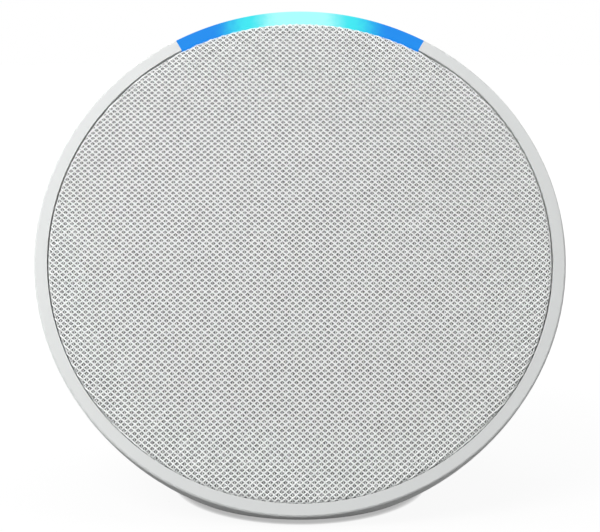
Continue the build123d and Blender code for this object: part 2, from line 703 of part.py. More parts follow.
# Magnet motor: cup, magnet and pole plate round the gap the coil moves in
CUP_FLOOR = CUP_FRONT + POLE_THICK + MAGNET_THICK
with BuildPart() as magnet_cup:
    with BuildSketch(meridian()):
        outline = [
            (CUP_INNER, CUP_FRONT),
            (CUP_OUTER, CUP_FRONT),
            (CUP_OUTER, CUP_FLOOR + CUP_BASE - OVERCUT),
            (CUP_OUTER - OVERCUT, CUP_FLOOR + CUP_BASE),
            (0, CUP_FLOOR + CUP_BASE),
            (0, CUP_FLOOR),
            (CUP_INNER, CUP_FLOOR),
        ]
        add(turned(outline))
    revolve(axis=FACE_AXIS)
save(magnet_cup, "magnet_cup")

POLE_RADIUS = COIL_RADIUS - AIR_GAP
with BuildPart() as driver_magnet:
    with BuildSketch(face_plane(CUP_FRONT + POLE_THICK)):
        Circle(POLE_RADIUS - AIR_GAP)
    extrude(amount=-MAGNET_THICK)
save(driver_magnet, "driver_magnet")

with BuildPart() as pole_plate:
    with BuildSketch(face_plane(CUP_FRONT)):
        Circle(POLE_RADIUS)
    extrude(amount=-POLE_THICK)
    chamfer(edges().sort_by(FACE_AXIS)[-1], AIR_GAP)
save(pole_plate, "pole_plate")

# Moving parts of the driver: cone, cap, coil former and winding
NECK_RADIUS = COIL_RADIUS + COIL_WALL + GLUE_GAP
CONE_OUTER = ROLL_INNER + GLUE_GAP
CONE_LIP = CONE_OUTER - CONE_SEAT
with BuildPart() as driver_cone:
    with BuildSketch(meridian()):
        outline = [
            (CONE_OUTER, FLANGE_FRONT),
            (CONE_LIP, FLANGE_FRONT),
            (NECK_RADIUS, FLANGE_FRONT + CONE_FALL),
            (NECK_RADIUS, FLANGE_FRONT + CONE_FALL + 1.5 * SHEET),
            (CONE_LIP + SHEET, FLANGE_FRONT + SHEET),
            (CONE_OUTER, FLANGE_FRONT + SHEET),
        ]
        add(turned(outline))
    revolve(axis=FACE_AXIS)
save(driver_cone, "driver_cone")

CAP_EDGE = FLANGE_FRONT + CONE_FALL * (CONE_LIP - CAP_RADIUS) / (CONE_LIP - NECK_RADIUS) - GLUE_GAP
with BuildPart() as dust_cap:
    with BuildSketch(meridian()):
        with BuildLine():
            top = TangentArc((0, CAP_RISE - CAP_EDGE), (CAP_RADIUS, -CAP_EDGE), tangent=(1, 0))
            under = TangentArc(
                (0, CAP_RISE - CAP_EDGE - SHEET), (CAP_RADIUS - 2 * SHEET, -CAP_EDGE), tangent=(1, 0)
            )
            Line(top @ 0, under @ 0)
            Line(top @ 1, under @ 1)
        make_face()
    revolve(axis=FACE_AXIS)
save(dust_cap, "dust_cap")

FORMER_TOP = FLANGE_FRONT + CONE_FALL
FORMER_END = CUP_FRONT + POLE_THICK + FORMER_TAIL
with BuildPart() as coil_former:
    with BuildSketch(face_plane(FORMER_TOP)):
        Circle(COIL_RADIUS + COIL_WALL)
        Circle(COIL_RADIUS, mode=Mode.SUBTRACT)
    extrude(amount=FORMER_TOP - FORMER_END)
save(coil_former, "coil_former")

with BuildPart() as coil_winding:
    with BuildSketch(face_plane(CUP_FRONT - COIL_OVERHANG)):
        Circle(COIL_RADIUS + COIL_WALL + WINDING)
        Circle(COIL_RADIUS + COIL_WALL, mode=Mode.SUBTRACT)
    extrude(amount=-(POLE_THICK + 2 * COIL_OVERHANG))
save(coil_winding, "coil_winding")

# Surround: a half roll between the basket and the cone
ROLL_MIDDLE = (ROLL_OUTER + ROLL_INNER) / 2
ROLL_RADIUS = (ROLL_OUTER - ROLL_INNER) / 2
with BuildPart() as driver_surround:
    with BuildSketch(meridian()):
        with Locations((ROLL_MIDDLE, -FLANGE_FRONT)):
            Circle(ROLL_RADIUS + SHEET / 2)
            Circle(ROLL_RADIUS - SHEET / 2, mode=Mode.SUBTRACT)
            Rectangle(ROLL_OUTER, ROLL_OUTER, align=(Align.CENTER, Align.MAX), mode=Mode.SUBTRACT)
        with Locations((CONE_LIP, -FLANGE_FRONT)):
            Rectangle(ROLL_INNER + SHEET / 2 - CONE_LIP, SHEET, align=(Align.MIN, Align.MIN))
        with Locations((ROLL_OUTER - SHEET / 2, -FLANGE_FRONT)):
            Rectangle(LIP_WIDTH + SHEET / 2, SHEET, align=(Align.MIN, Align.MIN))
    revolve(axis=FACE_AXIS)
save(driver_surround, "driver_surround")

# Spider: a corrugated ring that keeps the coil centred, drawn as one edge and its copy a sheet deeper
SPIDER_OUTER = SHELF_OUTER - FIT
WAVE_START = NECK_RADIUS + SHEET
WAVE_END = BASKET_THROAT - 2 * SHEET
WAVE = (WAVE_END - WAVE_START) / CORRUGATIONS
SPIDER_FRONT = SHELF_TOP - SHEET
with BuildPart() as driver_spider:
    with BuildSketch(meridian()):
        edge = [(NECK_RADIUS, SPIDER_FRONT), (WAVE_START, SPIDER_FRONT)]
        for step in range(CORRUGATIONS):
            crest = SPIDER_FRONT - CORRUGATION_RISE * (-1) ** step
            edge.append((WAVE_START + (step + CREST_SHARE) * WAVE, crest))
            edge.append((WAVE_START + (step + 1 - CREST_SHARE) * WAVE, crest))
        edge += [(WAVE_END, SPIDER_FRONT), (SPIDER_OUTER, SPIDER_FRONT)]
        deeper = [(radius, depth + SHEET) for radius, depth in reversed(edge)]
        add(turned(edge + deeper))
    revolve(axis=FACE_AXIS)
save(driver_spider, "driver_spider")

# Terminal strip on the lower side of the basket, over part of the way down to the header
TERMINAL_NEAR = SHELF_OUTER + BASKET_WALL + GLUE_GAP
TERMINAL_DEPTH = SHELF_TOP + BASKET_WALL / 2
TERMINAL_ROOM = FACE_Z - LEAN_SIN * TERMINAL_DEPTH - LEAN_COS * TERMINAL_NEAR - SOCKET_TOP
TERMINAL_LENGTH = TERMINAL_SHARE * TERMINAL_ROOM
TERMINAL_FAR = TERMINAL_NEAR + TERMINAL_LENGTH
with BuildPart() as driver_terminals:
    with BuildSketch(face_plane(SHELF_TOP)):
        with Locations((0, -TERMINAL_NEAR)):
            Rectangle(TERMINAL_WIDTH, TERMINAL_LENGTH, align=(Align.CENTER, Align.MAX))
    extrude(amount=-BASKET_WALL)
save(driver_terminals, "driver_terminals")

# Tray for the main board: plate, four bosses down to the floor, four posts up
with BuildPart() as board_tray:
    with BuildSketch(Plane.XY.offset(TRAY_BOTTOM)):
        with Locations((0, TRAY_Y)):
            RectangleRounded(BOARD_SCREW_X + 2 * POST_RADIUS, BOARD_SCREW_Y + 2 * POST_RADIUS, POST_RADIUS)
    extrude(amount=TRAY_THICK)
    with BuildSketch(Plane.XY.offset(TRAY_BOTTOM)):
        with Locations((0, TRAY_Y)):
            with GridLocations(BASE_SCREW_X, BASE_SCREW_Y, 2, 2):
                Circle(POST_RADIUS)
    extrude(amount=-TRAY_LIFT)
    with BuildSketch(Plane.XY.offset(TRAY_TOP)):
        with Locations((0, TRAY_Y)):
            with GridLocations(BOARD_SCREW_X, BOARD_SCREW_Y, 2, 2):
                Circle(POST_RADIUS)
    extrude(amount=TRAY_POST)
    with BuildSketch(Plane.XY.offset(FLOOR_TOP)):
        with Locations((0, TRAY_Y)):
            with GridLocations(BASE_SCREW_X, BASE_SCREW_Y, 2, 2):
                Circle(SCREW_SHAFT + SCREW_FIT)
            with GridLocations(BOARD_SCREW_X, BOARD_SCREW_Y, 2, 2):
                Circle(SCREW_SHAFT + SCREW_FIT)
    extrude(amount=TRAY_LIFT + TRAY_THICK + TRAY_POST, mode=Mode.SUBTRACT)
save(board_tray, "board_tray")


def base_places():
    return GridLocations(BASE_SCREW_X, BASE_SCREW_Y, 2, 2)


def board_places():
    return GridLocations(BOARD_SCREW_X, BOARD_SCREW_Y, 2, 2)


base_screws = screw_set(
    Plane(origin=(0, TRAY_Y, FOOT_THICK + COUNTERBORE), x_dir=(1, 0, 0), z_dir=(0, 0, -1)),
    base_places,
    TRAY_TOP - FOOT_THICK - COUNTERBORE,
)
save(base_screws, "base_screws")

# Main board
with BuildPart() as main_board:
    with BuildSketch(Plane.XY.offset(BOARD_BOTTOM)):
        with Locations((0, BOARD_Y)):
            RectangleRounded(BOARD_WIDTH, BOARD_LENGTH, BOARD_CORNER)
        with Locations((0, TRAY_Y)):
            with GridLocations(BOARD_SCREW_X, BOARD_SCREW_Y, 2, 2):
                Circle(SCREW_SHAFT + FIT, mode=Mode.SUBTRACT)
    extrude(amount=MAIN_THICK)
save(main_board, "main_board")

board_screws = screw_set(
    Plane(origin=(0, TRAY_Y, BOARD_TOP), x_dir=(1, 0, 0), z_dir=(0, 0, 1)),
    board_places,
    MAIN_THICK + TRAY_POST + TRAY_THICK - SCREW_FIT,
)
save(board_screws, "board_screws")

# Chips under a sheet-metal can, with a pad and a sink whose fins take part of the room under the magnet
CAN_Y = TRAY_Y - SHIELD_FORWARD
with BuildPart() as processor_chip:
    with Locations((-SHIELD_SIDE / 5, CAN_Y, BOARD_TOP)):
        Box(SHIELD_SIDE / 2, SHIELD_SIDE / 2, CHIP_HIGH, align=UPWARD)
save(processor_chip, "processor_chip")

with BuildPart() as memory_chip:
    with Locations((SHIELD_SIDE / 4, CAN_Y, BOARD_TOP)):
        Box(SHIELD_SIDE / 3, SHIELD_SIDE / 2, CHIP_HIGH, align=UPWARD)
save(memory_chip, "memory_chip")

with BuildPart() as shield_can:
    with Locations((0, CAN_Y, BOARD_TOP)):
        Box(SHIELD_SIDE, SHIELD_SIDE, SHIELD_HIGH, align=UPWARD)
    fillet(edges().filter_by(Axis.Z), 2 * SHIELD_SKIN)
    offset(amount=-SHIELD_SKIN, openings=faces().sort_by(Axis.Z)[0])
save(shield_can, "shield_can")

with BuildPart() as thermal_pad:
    with Locations((0, CAN_Y, BOARD_TOP + SHIELD_HIGH)):
        Box(SHIELD_SIDE - 2 * PAD_INSET, SHIELD_SIDE - 2 * PAD_INSET, PAD_THICK, align=UPWARD)
save(thermal_pad, "thermal_pad")

SINK_BOTTOM = BOARD_TOP + SHIELD_HIGH + PAD_THICK
MAGNET_LOW = FACE_Z - LEAN_SIN * (CUP_FLOOR + CUP_BASE) - LEAN_COS * CUP_OUTER
SINK_FIN = FIN_SHARE * (MAGNET_LOW - SINK_BOTTOM - SINK_BASE)
with BuildPart() as heat_sink:
    with Locations((0, CAN_Y, SINK_BOTTOM)):
        Box(SHIELD_SIDE, SHIELD_SIDE, SINK_BASE, align=UPWARD)
    with Locations((0, CAN_Y, SINK_BOTTOM + SINK_BASE)):
        with GridLocations(SHIELD_SIDE / SINK_FINS, 0, SINK_FINS, 1):
            Box(SHIELD_SIDE / SINK_FINS / 3, SHIELD_SIDE, SINK_FIN, align=UPWARD)
save(heat_sink, "heat_sink")

# Supply parts near the inlet, sockets, and two stamped antennas
with BuildPart() as power_coils:
    with Locations((-(BOARD_SCREW_X + SHIELD_SIDE) / 4, CAN_Y, BOARD_TOP)):
        with GridLocations(0, COIL_SIDE * 1.5, 1, 2):
            Box(COIL_SIDE, COIL_SIDE, COIL_HIGH, align=UPWARD)
save(power_coils, "power_coils")

with BuildPart() as filter_capacitors:
    with Locations((-RIBBON_SOCKET_X, RIBBON_SOCKET_Y, BOARD_TOP)):
        with GridLocations(CAN_RADIUS * 2.4, 0, 2, 1):
            Cylinder(CAN_RADIUS, CAN_HIGH, align=UPWARD)
    fillet(faces().filter_by(Axis.Z).group_by(Axis.Z)[-1].edges(), OVERCUT / 2)
save(filter_capacitors, "filter_capacitors")

HEADER_Y = BOARD_Y - BOARD_LENGTH / 2 + SOCKET_HIGH
with BuildPart() as board_sockets:
    with Locations((0, HEADER_Y, BOARD_TOP)):
        Box(2 * WIRE_PITCH, 1.5 * SOCKET_HIGH, SOCKET_HIGH, align=UPWARD)
    with Locations((RIBBON_SOCKET_X, RIBBON_SOCKET_Y, BOARD_TOP)):
        Box(RIBBON_WIDE + SOCKET_HIGH, SOCKET_HIGH, SOCKET_HIGH, align=UPWARD)
save(board_sockets, "board_sockets")

with BuildPart() as radio_antennas:
    for side in (-1, 1):
        with Locations((side * (BOARD_WIDTH / 2 - ANTENNA_SKIN), BOARD_Y, BOARD_TOP)):
            Box(ANTENNA_SKIN, ANTENNA_LONG, ANTENNA_HIGH, align=UPWARD)
        with Locations((side * (BOARD_WIDTH / 2 - ANTENNA_HIGH / 2), BOARD_Y, BOARD_TOP + ANTENNA_HIGH)):
            Box(ANTENNA_HIGH, ANTENNA_LONG, ANTENNA_SKIN, align=DOWNWARD)
save(radio_antennas, "radio_antennas")

# Supply inlet: body on the board with a round nose and bore, and the centre pin
with BuildPart() as power_jack:
    with BuildSketch(rear_plane(WELL_BACK_Y, JACK_Z)):
        Rectangle(JACK_SIDE, JACK_SIDE)
    extrude(amount=-JACK_LENGTH)
    with BuildSketch(rear_plane(WELL_BACK_Y, JACK_Z)):
        Circle(NOSE_RADIUS)
    extrude(amount=WELL_WALL)
    with BuildSketch(rear_plane(JACK_FACE_Y, JACK_Z)):
        Circle(JACK_BORE)
    extrude(amount=-JACK_BORE_DEEP, mode=Mode.SUBTRACT)
save(power_jack, "power_jack")

with BuildPart() as jack_pin:
    with BuildSketch(rear_plane(JACK_FACE_Y - JACK_BORE_DEEP, JACK_Z)):
        Circle(PIN_RADIUS)
    extrude(amount=PIN_LENGTH)
    fillet(edges().sort_by(Axis.Y)[-1], PIN_RADIUS / 2)
save(jack_pin, "jack_pin")

# Control board under the top, with its switches and microphones
with BuildPart() as button_board:
    with BuildSketch(BUTTON_PLANE.offset(-CONTROL_TOP)):
        RectangleRounded(CONTROL_BOARD_X, CONTROL_BOARD_Y, CONTROL_BOSS)
        with GridLocations(2 * CONTROL_SCREW_X, 0, 2, 1):
            Circle(SCREW_SHAFT + FIT, mode=Mode.SUBTRACT)
    extrude(amount=-BOARD_THICK)
save(button_board, "button_board")


def control_places():
    return GridLocations(2 * CONTROL_SCREW_X, 0, 2, 1)


button_board_screws = screw_set(
    Plane(origin=BUTTON_PLANE.offset(-CONTROL_BACK).origin, x_dir=(1, 0, 0), z_dir=-BUTTON_NORMAL),
    control_places,
    BOARD_THICK + CONTROL_PILOT - FIT,
)
save(button_board_screws, "button_board_screws")

with BuildPart() as switch_bodies:
    with BuildSketch(BUTTON_PLANE.offset(-CONTROL_TOP)):
        with GridLocations(BUTTON_PITCH, 0, 3, 1):
            Rectangle(SWITCH_SIDE, SWITCH_SIDE)
    extrude(amount=SWITCH_HIGH)
    with BuildSketch(BUTTON_PLANE.offset(-SWITCH_TOP)):
        with GridLocations(BUTTON_PITCH, 0, 3, 1):
            Circle(PLUNGER_RADIUS + FIT)
    extrude(amount=-(PLUNGER_HIDDEN + BUTTON_TRAVEL + FIT), mode=Mode.SUBTRACT)
save(switch_bodies, "switch_bodies")

with BuildPart() as microphones:
    with BuildSketch(BUTTON_PLANE.offset(-CONTROL_TOP)):
        with GridLocations(2 * MIC_X, 0, 2, 1):
            Rectangle(MIC_SIDE, MIC_SIDE)
    extrude(amount=MIC_HIGH)
    with BuildSketch(BUTTON_PLANE.offset(MIC_HIGH - CONTROL_TOP)):
        with GridLocations(2 * MIC_X, 0, 2, 1):
            Circle(MIC_HOLE)
    extrude(amount=-MIC_HIGH / 2, mode=Mode.SUBTRACT)
save(microphones, "microphones")

with BuildPart() as mic_gaskets:
    with BuildSketch(BUTTON_PLANE.offset(MIC_HIGH - CONTROL_TOP)):
        with GridLocations(2 * MIC_X, 0, 2, 1):
            Circle(MIC_TUBE)
            Circle(MIC_HOLE, mode=Mode.SUBTRACT)
    extrude(amount=CONTROL_TOP)
    add(cavity.part, mode=Mode.INTERSECT)
save(mic_gaskets, "mic_gaskets")

# Outer form of the button tops, a little proud of the dome
with BuildPart() as proud_dome:
    with BuildSketch(meridian()):
        add(dome_section(RIM_RADIUS + BUTTON_PROUD, DOME_DEPTH + BUTTON_PROUD))
    revolve(axis=FACE_AXIS)

for name, x in (("volume_down", -BUTTON_PITCH), ("mic_mute", 0), ("volume_up", BUTTON_PITCH)):
    with BuildPart() as button:
        with BuildSketch(BUTTON_PLANE.offset(-flange_depth(x))):
            with Locations((x, 0)):
                Circle(BUTTON_RADIUS)
        extrude(amount=flange_depth(x) + OVERCUT)
        add(proud_dome.part, mode=Mode.INTERSECT)
        fillet(faces().sort_by(Axis(BUTTON_ORIGIN, BUTTON_NORMAL))[-1].edges(), BUTTON_PROUD)
        with BuildSketch(BUTTON_PLANE.offset(-flange_depth(x))):
            with Locations((x, 0)):
                Circle(BUTTON_FLANGE)
        extrude(amount=-BUTTON_LIP)
        with BuildSketch(BUTTON_PLANE.offset(-flange_depth(x) - BUTTON_LIP)):
            with Locations((x, 0)):
                Circle(STEM_RADIUS)
        extrude(amount=flange_depth(x) + BUTTON_LIP - STEM_END)
    save(button, f"{name}_button")
    with BuildPart() as plunger:
        with BuildSketch(BUTTON_PLANE.offset(-STEM_END)):
            with Locations((x, 0)):
                Circle(PLUNGER_RADIUS)
        extrude(amount=-(PLUNGER_SHOWN + PLUNGER_HIDDEN))
    save(plunger, f"{name}_plunger")

# Ribbon from the control board down the back of the dome to its socket on the main board
RIBBON_BACK_Y = JACK_FACE_Y - WELL_WALL / 2
with BuildPart() as button_ribbon:
    with BuildSketch(Plane.YZ.offset(RIBBON_SOCKET_X)):
        with BuildLine():
            FilletPolyline(
                control_point(CONTROL_BOARD_Y / 2 - RIBBON_TAIL, CONTROL_BACK + RIBBON_THICK / 2),
                control_point(CONTROL_BOARD_Y / 2 + RIBBON_BEND, CONTROL_BACK + RIBBON_THICK / 2),
                (RIBBON_BACK_Y, FACE_Z),
                (RIBBON_SOCKET_Y, SOCKET_TOP + 2 * RIBBON_BEND),
                (RIBBON_SOCKET_Y, SOCKET_TOP),
                radius=RIBBON_BEND,
            )
        trace(line_width=RIBBON_THICK)
    extrude(amount=RIBBON_WIDE / 2, both=True)
save(button_ribbon, "button_ribbon")

# Short ribbon from the lamp board to the control board
with BuildPart() as led_ribbon:
    with BuildSketch(Plane.YZ):
        with BuildLine():
            FilletPolyline(
                side_point(BAFFLE_BACK + RIBBON_THICK / 2, LED_BOARD_INNER + RIBBON_SLACK),
                control_point(-CONTROL_BOARD_Y / 2 - RIBBON_SLACK, CONTROL_BACK + RIBBON_SLACK),
                control_point(RIBBON_TAIL - CONTROL_BOARD_Y / 2, CONTROL_BACK + RIBBON_THICK / 2),
                radius=RIBBON_SLACK / 2,
            )
        trace(line_width=RIBBON_THICK)
    extrude(amount=RIBBON_WIDE / 2, both=True)
save(led_ribbon, "led_ribbon")

# Two wires from the driver's terminals to the header on the main board
with BuildPart() as driver_wires:
    for side in (-1, 1):
        with BuildLine(Plane.YZ.offset(side * WIRE_PITCH / 2)) as route:
            FilletPolyline(
                side_point(TERMINAL_DEPTH, -TERMINAL_FAR),
                side_point(TERMINAL_DEPTH, -TERMINAL_FAR - 2 * WIRE_RADIUS),
                (HEADER_Y, SOCKET_TOP + 3 * WIRE_RADIUS),
                (HEADER_Y, SOCKET_TOP),
                radius=WIRE_RADIUS * 1.5,
            )
        with BuildSketch(Plane(origin=route.line @ 0, z_dir=route.line % 0)):
            Circle(WIRE_RADIUS)
        sweep(path=route.line)
save(driver_wires, "driver_wires")

# Rubber foot in its recess under the floor
with BuildPart() as foot_pad:
    with BuildSketch():
        with Locations((0, BASE_Y)):
            Ellipse(BASE_WIDE - FOOT_INSET, BASE_LONG - FOOT_INSET)
    extrude(amount=FOOT_THICK)
    fillet(faces().sort_by(Axis.Z)[0].edges(), FOOT_STANDOFF / 2)
save(foot_pad, "foot_pad")
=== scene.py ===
import math

import bpy
import numpy as np
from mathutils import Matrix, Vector
from mathutils.bvhtree import BVHTree


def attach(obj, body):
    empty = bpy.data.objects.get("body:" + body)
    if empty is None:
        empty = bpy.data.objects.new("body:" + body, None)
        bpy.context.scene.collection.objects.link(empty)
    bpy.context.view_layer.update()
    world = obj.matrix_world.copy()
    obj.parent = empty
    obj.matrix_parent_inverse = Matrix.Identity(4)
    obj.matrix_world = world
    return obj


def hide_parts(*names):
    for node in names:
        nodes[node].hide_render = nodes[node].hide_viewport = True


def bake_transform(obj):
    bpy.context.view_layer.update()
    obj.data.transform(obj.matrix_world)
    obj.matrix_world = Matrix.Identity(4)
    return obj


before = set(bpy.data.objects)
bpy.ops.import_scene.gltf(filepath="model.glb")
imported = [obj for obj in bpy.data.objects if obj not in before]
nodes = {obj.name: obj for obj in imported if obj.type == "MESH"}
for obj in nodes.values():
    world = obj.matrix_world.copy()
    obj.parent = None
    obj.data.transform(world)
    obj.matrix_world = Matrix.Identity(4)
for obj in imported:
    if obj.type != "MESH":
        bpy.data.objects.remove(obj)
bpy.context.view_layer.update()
scene = bpy.context.scene
MM = 0.001

# Form of the part, the same values as in its source
RIM_RADIUS = 49.5 * MM
DOME_DEPTH = 63.6 * MM
TILT = math.radians(26.25)
HEIGHT = 91.0 * MM
RIM_WIDTH = 2.4 * MM
SHADOW_GAP = 0.15 * MM
CLOTH_DEEP = 4.0 * MM
BUTTON_BACK = 19.0 * MM
BUTTON_PITCH = 16.0 * MM

LEAN_SIN, LEAN_COS = math.sin(TILT), math.cos(TILT)
RIGHT = np.array((1.0, 0.0, 0.0))
UP = np.array((0.0, LEAN_SIN, LEAN_COS))
OUT = np.array((0.0, -LEAN_COS, LEAN_SIN))
FACE_REACH = math.hypot(DOME_DEPTH * LEAN_COS, RIM_RADIUS * LEAN_SIN)
FACE_CENTRE = np.array(
    (0.0, (RIM_RADIUS * LEAN_SIN - FACE_REACH) / 2, HEIGHT - RIM_RADIUS * LEAN_COS)
)

# Weave: white yarns cross on the bias, with a grey loop in every opening
CELL_WIDE = 1.294 * MM
CELL_HIGH = 1.111 * MM
YARN_HALF = 0.162 * MM
YARN_RISE = 0.15 * MM
YARN_WAVE = 0.045 * MM
YARN_LIFT = 0.075 * MM
YARN_STEPS = 2
YARN_WANDER = 0.010 * MM
YARN_UNEVEN = 0.05
LOOP_WIDE = 0.115 * MM
LOOP_HIGH = 0.285 * MM
LOOP_RISE = 0.22 * MM
LOOP_DROP = 0.02 * MM
LOOP_SIDES = 6
LOOP_WANDER = 0.02 * MM
LOOP_UNEVEN = 0.06
BACKING = 0.24 * MM
WEAVE_DEPTH = 0.30 * MM
WEAVE_SIDE = 0.22 * MM
EDGE_ROLL = 0.32 * MM
BASE_RADIUS = RIM_RADIUS - RIM_WIDTH - SHADOW_GAP - WEAVE_SIDE
FLAT_RADIUS = BASE_RADIUS - EDGE_ROLL
ROLL_LENGTH = EDGE_ROLL * math.pi / 2
CUT_RADIUS = FLAT_RADIUS + ROLL_LENGTH + CLOTH_DEEP - WEAVE_DEPTH - EDGE_ROLL
YARN_TAIL = 0.5 * MM
YARN_END = FLAT_RADIUS + ROLL_LENGTH + YARN_TAIL
YARN_FLOOR = -0.02 * MM
YARN_PROFILE = ((-1.0, -0.35), (-0.62, 0.62), (0.0, 1.0), (0.62, 0.62), (1.0, -0.35))
LOOP_INSET = 0.3 * MM
LOOP_SHELLS = ((1.0, -0.1), (0.8, 0.62))
HUB_SHARE = 0.02
FLAT_RINGS, ROLL_RINGS, HEM_RINGS = 30, 8, 5
AROUND = 256
MAP_SPAN = 2.02 * CUT_RADIUS

rng = np.random.default_rng(7)

# Where noise values mostly lie, and the rate of the wave texture
NOISE_LOW, NOISE_HIGH = 0.3, 0.7
WAVE_RATE = 20.0


def add_node(tree, kind, inputs=None, **settings):
    """A shader node with its settings, and values or links for its inputs."""
    made = tree.nodes.new(kind)
    for key, value in settings.items():
        setattr(made, key, value)
    for key, value in (inputs or {}).items():
        if isinstance(value, bpy.types.NodeSocket):
            tree.links.new(value, made.inputs[key])
        else:
            made.inputs[key].default_value = value
    return made


def start_material(name, **sockets):
    """A Principled material: its tree, its shader and the object's own coordinates."""
    mat = bpy.data.materials.new(name)
    mat.use_nodes = True
    tree = mat.node_tree
    shader = tree.nodes["Principled BSDF"]
    for key, value in sockets.items():
        shader.inputs[key.replace("_", " ")].default_value = value
    place = add_node(tree, "ShaderNodeTexCoord").outputs["Object"]
    return mat, tree, shader, place


def noise(tree, place, scale, detail=2.0, rough=0.5):
    """A noise value, about 0.3 to 0.7."""
    return add_node(
        tree,
        "ShaderNodeTexNoise",
        {"Vector": place, "Scale": scale, "Detail": detail, "Roughness": rough},
    ).outputs["Fac"]


def spread(tree, value, low, high, start=NOISE_LOW, end=NOISE_HIGH):
    """A noise value carried to a range."""
    return add_node(
        tree,
        "ShaderNodeMapRange",
        {"Value": value, "From Min": start, "From Max": end, "To Min": low, "To Max": high},
    ).outputs["Result"]


def shade(tree, colour, value, low, high):
    """A colour made darker or lighter by a noise value."""
    ramp = add_node(tree, "ShaderNodeValToRGB", {"Fac": value})
    ramp.color_ramp.elements[0].position = NOISE_LOW
    ramp.color_ramp.elements[1].position = NOISE_HIGH
    for element, level in zip(ramp.color_ramp.elements, (low, high)):
        element.color = (*[min(c * level, 1.0) for c in colour], 1.0)
    return ramp.outputs["Color"]


def maths(tree, operation, first, second):
    """Two values joined by one operation."""
    return add_node(tree, "ShaderNodeMath", {0: first, 1: second}, operation=operation).outputs[0]


def relief(tree, shader, height, strength, depth):
    """Fine relief on a shader, by bump."""
    bump = add_node(
        tree, "ShaderNodeBump", {"Height": height, "Strength": strength, "Distance": depth}
    )
    tree.links.new(bump.outputs["Normal"], shader.inputs["Normal"])


def moulded(name, colour, rough=0.5, grain=3200.0, depth=0.00003, strength=0.25, mottle=0.03):
    """Moulded plastic: fine spark-eroded grain, faint flow marks and uneven gloss."""
    mat, tree, shader, place = start_material(name, Specular_IOR_Level=0.35)
    flow = noise(tree, place, 55.0, 3.0)
    tone = shade(tree, colour, flow, 1.0 - mottle, 1.0 + mottle)
    tree.links.new(tone, shader.inputs["Base Color"])
    pits = noise(tree, place, grain, 2.0, 0.6)
    gloss = spread(tree, pits, rough - 0.06, rough + 0.06)
    tree.links.new(gloss, shader.inputs["Roughness"])
    relief(tree, shader, pits, strength, depth)
    return mat


def metal(name, colour, rough=0.3, grain=(900.0, 60.0, 900.0), mottle=0.08):
    """Metal with drawn or plated grain."""
    mat, tree, shader, place = start_material(name, Metallic=1.0)
    along = add_node(tree, "ShaderNodeMapping", {"Vector": place, "Scale": grain}).outputs["Vector"]
    lines = noise(tree, along, 1.0, 3.0)
    tone = shade(tree, colour, lines, 1.0 - mottle, 1.0 + mottle)
    tree.links.new(tone, shader.inputs["Base Color"])
    tree.links.new(spread(tree, lines, rough - 0.1, rough + 0.1), shader.inputs["Roughness"])
    relief(tree, shader, lines, 0.1, 0.00002)
    return mat


def laminate(name, colour, track):
    """Circuit board: lacquer over a maze of copper tracks."""
    mat, tree, shader, place = start_material(name)
    maze = add_node(
        tree,
        "ShaderNodeTexBrick",
        {"Vector": place, "Scale": 180.0, "Mortar Size": 0.03, "Brick Width": 0.9, "Row Height": 0.25},
    )
    maze.inputs["Color1"].default_value = (*colour, 1.0)
    maze.inputs["Color2"].default_value = (*[c * 0.82 for c in colour], 1.0)
    maze.inputs["Mortar"].default_value = (*track, 1.0)
    tree.links.new(maze.outputs["Color"], shader.inputs["Base Color"])
    tree.links.new(
        spread(tree, noise(tree, place, 400.0), 0.25, 0.4), shader.inputs["Roughness"]
    )
    relief(tree, shader, maze.outputs["Fac"], 0.2, 0.00003)
    return mat


def woven(name, colour, pitch, rough=0.9):
    """Close cloth or pulp: two crossing bands and fibre noise."""
    mat, tree, shader, place = start_material(name)
    bands = []
    for way in ("X", "Z"):
        band = add_node(
            tree,
            "ShaderNodeTexWave",
            {"Vector": place, "Scale": 1.0 / (WAVE_RATE * pitch), "Distortion": 0.6},
            bands_direction=way,
        )
        bands.append(band.outputs["Fac"])
    cross = maths(tree, "MULTIPLY", *bands)
    fibre = noise(tree, place, 2400.0, 3.0)
    mixed = maths(tree, "ADD", cross, fibre)
    tree.links.new(shade(tree, colour, fibre, 0.8, 1.15), shader.inputs["Base Color"])
    tree.links.new(spread(tree, fibre, rough - 0.1, min(rough + 0.1, 1.0)), shader.inputs["Roughness"])
    relief(tree, shader, mixed, 0.4, 0.00006)
    return mat


# Light bar: pale cyan in the middle, cyan on both sides and blue at the ends
LAMP_REACH = 24.0 * MM
LAMP_CLOUD = 0.4 * MM
LAMP_PALE = (0.40, 1.0, 0.98)
LAMP_CYAN = (0.05, 0.80, 0.87)
LAMP_BLUE = (0.012, 0.26, 0.85)
LAMP_DULL = (0.004, 0.012, 0.02)
LAMP_HALF = [
    (4.0 * MM, LAMP_PALE),
    (10.0 * MM, LAMP_CYAN),
    (17.0 * MM, LAMP_BLUE),
    (LAMP_REACH, LAMP_BLUE),
]
LAMP_RUN = [(-at, colour) for at, colour in reversed(LAMP_HALF)] + LAMP_HALF


